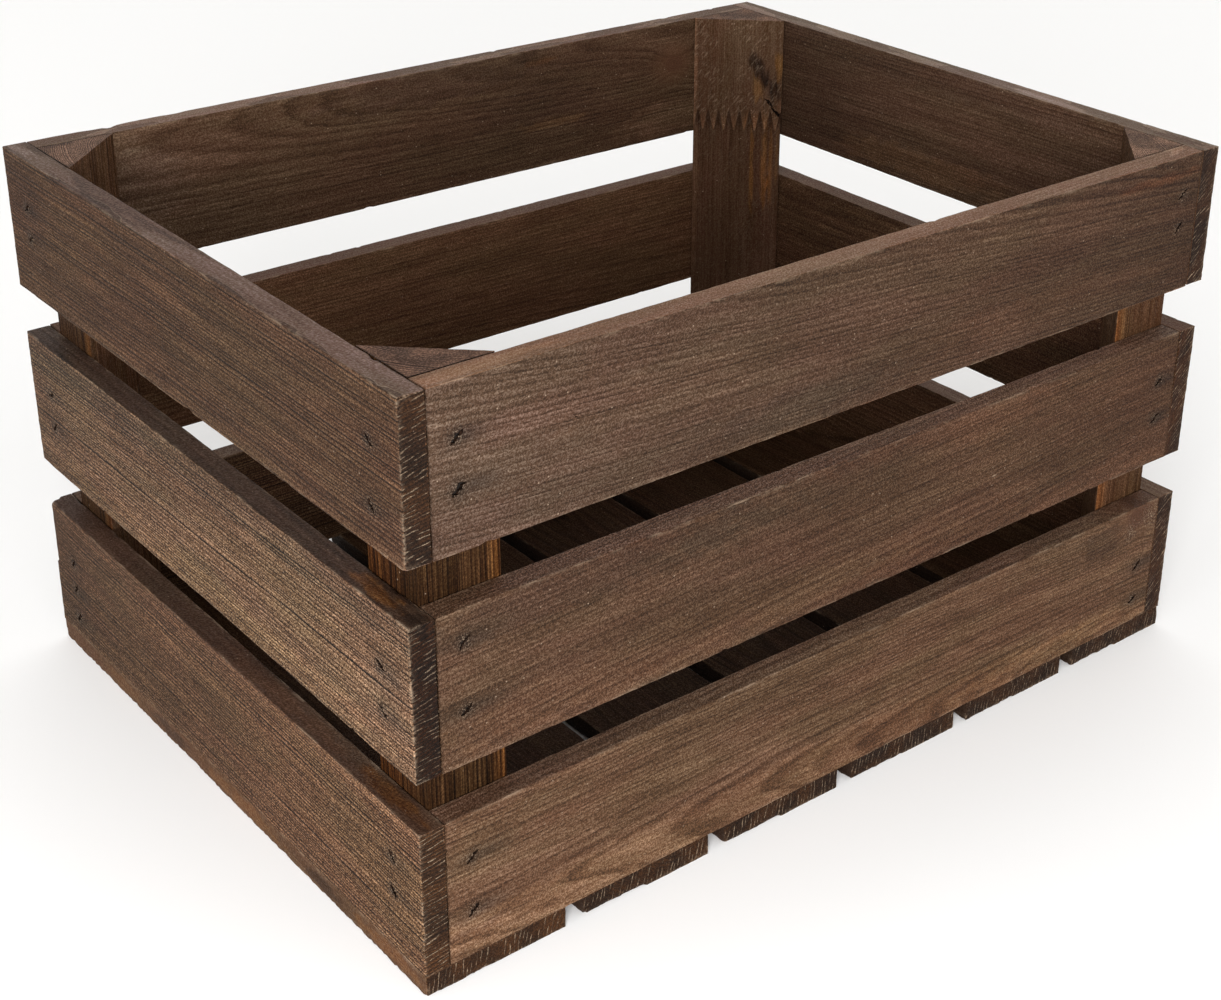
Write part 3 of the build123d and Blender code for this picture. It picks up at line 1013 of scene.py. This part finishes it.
def post_place(node, side_x, side_y):
    """Where a post stands: the middle of its inner face's foot, its directions across the face,
    outward and up, and in mm the face's width and the outer corner's place across and outward."""
    low, high = (np.array(corner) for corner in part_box(node))
    leg_x, leg_y = (high - low)[:2] - JOINT_GAP
    corner = np.array([high[0] if side_x > 0 else low[0], high[1] if side_y > 0 else low[1], 0])
    corner -= np.array([side_x, side_y, 0]) * JOINT_GAP
    tip_x = corner - (side_x * leg_x, 0, 0)
    tip_y = corner - (0, side_y * leg_y, 0)
    width = np.linalg.norm(tip_x - tip_y)
    across = (tip_y - tip_x) / width
    outward = np.array([side_x * leg_y, side_y * leg_x, 0]) / width
    origin = (tip_x + tip_y) / 2
    apex, depth = (corner - origin) @ across / MM, (corner - origin) @ outward / MM
    return origin, np.array([across, outward, (0, 0, 1)]), width / MM, apex, depth


def cut_cracks(post, origin, axes, cracks, rng):
    """Cuts cracks in the inner face, each between two places across and up, and of some width."""
    plugs = []
    for start, stop, crack_mm in cracks:
        ends = np.array([(across_mm, CRACK_FLOOR_MM, z) for across_mm, z in (start, stop)])
        along = (ends[1] - ends[0]) @ axes
        length = np.linalg.norm(along)
        middle = origin + ends.mean(0) * MM @ axes
        plugs.append(ragged_plug(middle, along / length, -axes[1], length, crack_mm, 0.3, rng))
    cut_out(post, plugs)


def paint_post(mesh, local, width, out, floor, roof, pith, spec):
    """Gives the mesh the attributes that the wood material reads. out is how far outward the post
    reaches at each point's place across it."""
    seed = spec["seed"]
    jointed = spec.get("comb")
    on_face = local[:, 1] < 0.5
    at_top = (np.abs(local[:, 2] - roof(local[:, 0])) < 0.02) & (jointed != "above")
    grain = np.stack(
        [local[:, 2] + APART_MM * (seed % 17), local[:, 0] + pith[0], local[:, 1] + pith[1]], 1)
    grain[:, 1:] *= spec.get("rings", RIPPED_RINGS)
    none = np.zeros(len(local))

    # Stain: the outer sides with painted light at their tips, the inner face, and the end with
    # painted shade along its rim
    from_tip = width / 2 - np.abs(local[:, :1])
    # Painted light: the outer sides paler and more orange near the tips.
    painted_tip_lights = [
        np.exp(-(from_tip / reach) ** 2) * colour
        for reach, colour in spec.get("painted_tip_lights", (PAINTED_TIP_LIGHT, PAINTED_TIP_LIGHT))
    ]
    sides = np.array(POST_STAIN) * spec["stain"] * (1 + np.where(local[:, :1] < 0, *painted_tip_lights))
    tint = np.where(on_face[:, None], np.array(INNER_STAIN) * spec["inner"], sides)
    end = np.array(POST_TOP_STAIN) * spec.get("top", (1, 1, 1))
    tint = np.where(at_top[:, None], end, tint)
    # Painted shade in the seam between the post's top and the boards beside it.
    in_seam_shade = at_top & (out - local[:, 1] < 0.1)
    tint = np.where(in_seam_shade[:, None], tint * spec.get("seam_shade", 0.12), tint)

    # The finger joint is paler over the lower length's fingers, and dark along the glue
    rise = np.clip((local[:, 2] - upper_box[0].z / MM) / FINGER_LENGTH_MM, 0, 1)
    if jointed == "below":
        tint = tint * (1 + 0.8 * smooth_step(1, 0.2, rise)[:, None])
        from_glue = np.abs(local[:, 2] - floor(local[:, 0]))
        tint = tint * (1 - 0.5 * np.exp(-from_glue / 0.4)[:, None])
    if jointed == "above":
        tint = tint * (1 - 0.45 * smooth_step(0, 0.5, rise)[:, None])

    on_post = np.stack([local[:, 2], local[:, 0], none], 1)
    patched = with_tint_patches(tint, on_post, spec.get("tint_patches", ()), seed + 9)
    habit = np.where(on_face[:, None], spec.get("wood", RIPPED), spec.get("side_wood", RIPPED))
    scuff = np.where(on_face, spec.get("scuff", 0.15), 0)
    set_attributes(
        mesh, grain=grain, tint=np.where(on_face[:, None], patched, tint),
        board=np.stack([local[:, 2], local[:, 0], local[:, 1]], 1) + APART_MM * (seed % 19),
        marks=np.stack([none, at_top, none + FAR_MM], 1),
        habit=np.where(at_top[:, None], POST_END, habit),
        finish=np.stack([none, scuff, none], 1),
    )


def make_post(node, floor, roof, spec):
    """One length of post between two heights, each a function of the place across it."""
    seed = spec["seed"]
    origin, axes, width, apex, depth = post_place(node, *spec["sides"])
    shaped, quads = post_shell(width, apex, depth, floor, roof, 2.4)
    ripple = 0.1 * waves(shaped, (14, 1e6, 5), seed)
    ripple += 0.06 * waves(shaped, (3.4, 1e6, 7), seed + 1, 24)
    shaped[:, 1] += np.where(shaped[:, 1] == 0, ripple, 0)
    if np.linalg.det(axes) < 0:
        quads = quads[:, ::-1]
    post = new_mesh_object("wood_" + node, origin + shaped * MM @ axes, quads)
    post.data.materials.append(ripped_spruce)
    rng = np.random.default_rng(seed + 2)
    cut_cracks(post, origin, axes, spec.get("cracks", ()), rng)
    pith = spec.get("pith", (rng.uniform(-40, 40), rng.uniform(30, 70)))
    local = (mesh_points(post.data) - origin) @ axes.T / MM
    out = depth * np.interp(local[:, 0], (-width / 2, apex, width / 2), (0, 1, 0))
    paint_post(post.data, local, width, out, floor, roof, pith, spec)
    hand_over(post, node)


def level(height):
    return lambda across: np.full(np.shape(across), height / MM, float)


def joint(across):
    return comb(across, upper_box[0].z / MM, lower_box[1].z / MM)


# A dark band that runs down across the jointed post's head
DARK_BAND = tuple(
    (z, across, 0, 6, 3.6, 0.4, 0.4, 0.44)
    for z, across in ((253, 10), (248, 13.5), (243, 17), (238, 20), (233, 23))
)

# For each post: sides says which corner it stands in. stain, inner and top are factors on the
# stain of its outer sides, its inner face and its top, and the seam factor is the painted shade on
# the top's rim. wood and side_wood say how strongly the inner face and the outer sides are marked.
# The glows are painted light on the outer sides at the two tips of its inner face. pith is the
# tree's centre, and rings is how narrow its rings are. scuff is how scuffed the inner face is, and
# patches and cracks are on it, at places up and across and across and up. comb says whether its
# joint is above or below.
POSTS = {
    "corner_post_front_left": dict(
        sides=(-1, -1), seed=301, inner=(1, 1, 1), stain=(0.7, 0.66, 0.58), top=(1.6, 1.6, 1.74),
        side_wood=STRIPED, painted_tip_lights=(PAINTED_TIP_LIGHT, (16, (0.52, 0.18, -0.28))), pith=(12, 59), rings=1.5),
    "corner_post_front_right": dict(
        sides=(1, -1), seed=313, inner=(1, 1, 1), stain=(1.45, 1.45, 1.6), top=(2.4, 2.5, 2.65),
        seam_shade=0.6),
    "corner_post_back_left": dict(
        sides=(-1, 1), seed=331, inner=(1.3, 1.3, 1.35), stain=(0.7, 0.65, 0.62),
        top=(1.75, 1.82, 1.98)),
    "corner_post_back_right_lower": dict(
        sides=(1, 1), seed=347, comb="above", wood=SMOOTHED, inner=(1.14, 1.17, 1.36),
        stain=(1, 1, 1), scuff=0.14,
        tint_patches=(
            (186, 17.6, 0, 28, 1.9, 1.9, 1.7, 1.05), (184, 9.7, 0, 26, 1.3, 2.1, 2, 1.3),
            (186, 21.6, 0, 26, 1.5, 1.7, 1.45, 0.9), (186, 25, 0, 24, 1, 1.5, 1.45, 1.1),
            (180, -26, 0, 60, 2.5, 1.3))),
    "corner_post_back_right_upper": dict(
        sides=(1, 1), seed=353, comb="below", wood=SMOOTHED, inner=(1.34, 1.48, 1.72),
        stain=(1, 1, 1), top=(1.9, 1.85, 1.85), scuff=0.45,
        cracks=(((17.2, 230), (26.3, 217.8), 1.7),),
        tint_patches=(
            (235, 12.5, 0, 6, 4, 1.6, 1.55, 1.1), (250, 25.5, 0, 9, 3, 1.7, 1.55, 1),
            (224, 26.5, 0, 4, 2.4, 1.4, 1.4, 1.45), (246, -26.5, 0, 34, 1.6, 1.8),
            (215, 12, 0, 5, 9, 1.25, 1.15, 1), *DARK_BAND)),
}
for node, spec in POSTS.items():
    low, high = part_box(node)
    below = joint if spec.get("comb") == "below" else level(low.z)
    above = joint if spec.get("comb") == "above" else level(high.z)
    make_post(node, below, above, spec)

for node in STAPLES:
    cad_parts[node].data.materials.clear()
    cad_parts[node].data.materials.append(steel)


# -------- floor, light and camera

RING_LIGHT = 1.88
OVERHEAD_LIGHT = 0.2
SOFT_BOX_SIZE = 0.5
SOFT_BOX_WATTS = 21
# The places and turns of the lamp and the camera. Turns are about x, y and z, in degrees.
SOFT_BOX_PLACE = -0.95, -1.05, 0.42
SOFT_BOX_TURN = 75.9083, 0, -41.8202
CAMERA_PLACE = -0.57407, -0.74368, 0.58763
CAMERA_TURN = 65.14781, -0.81621, -39.35847
LENS_MM = 58.7114
LENS_SHIFT = -0.0601, -0.09943


def stage():
    """A wide pale floor, a hair under the slats, so that the two surfaces don't coincide."""
    corners = [(x, y, -0.1 * MM) for x, y in ((-14, -14), (14, -14), (14, 14), (-14, 14))]
    floor = new_mesh_object("floor", np.array(corners), [(0, 1, 2, 3)])
    floor.data.materials.append(pale_floor())


def placed(name, data, place, turn):
    """A lamp or a camera in the scene."""
    holder = bpy.data.objects.new(name, data)
    holder.location = place
    holder.rotation_euler = [math.radians(angle) for angle in turn]
    bpy.context.scene.collection.objects.link(holder)
    return holder


def studio_light():
    """An even glow from all round that fades overhead, and one soft box at the front left."""
    g = Graph("studio", bpy.data.worlds)
    height = g.split(g.add("TexCoord"))[2]
    glow = g.step(height, 0.5, 0.86, RING_LIGHT, OVERHEAD_LIGHT)
    bpy.context.scene.world = g.finish(g.add("Background", (1, 0.99, 0.975, 1), glow), "World")

    lamp = bpy.data.lights.new("soft_box", "AREA")
    lamp.shape = "SQUARE"
    lamp.size = SOFT_BOX_SIZE
    lamp.energy = SOFT_BOX_WATTS
    placed("soft_box", lamp, SOFT_BOX_PLACE, SOFT_BOX_TURN)


def camera():
    data = bpy.data.cameras.new("camera")
    data.lens = LENS_MM
    data.sensor_width = 36
    data.shift_x, data.shift_y = LENS_SHIFT
    bpy.context.scene.camera = placed("camera", data, CAMERA_PLACE, CAMERA_TURN)


stage()
studio_light()
camera()
bpy.context.scene.view_settings.view_transform = "Standard"
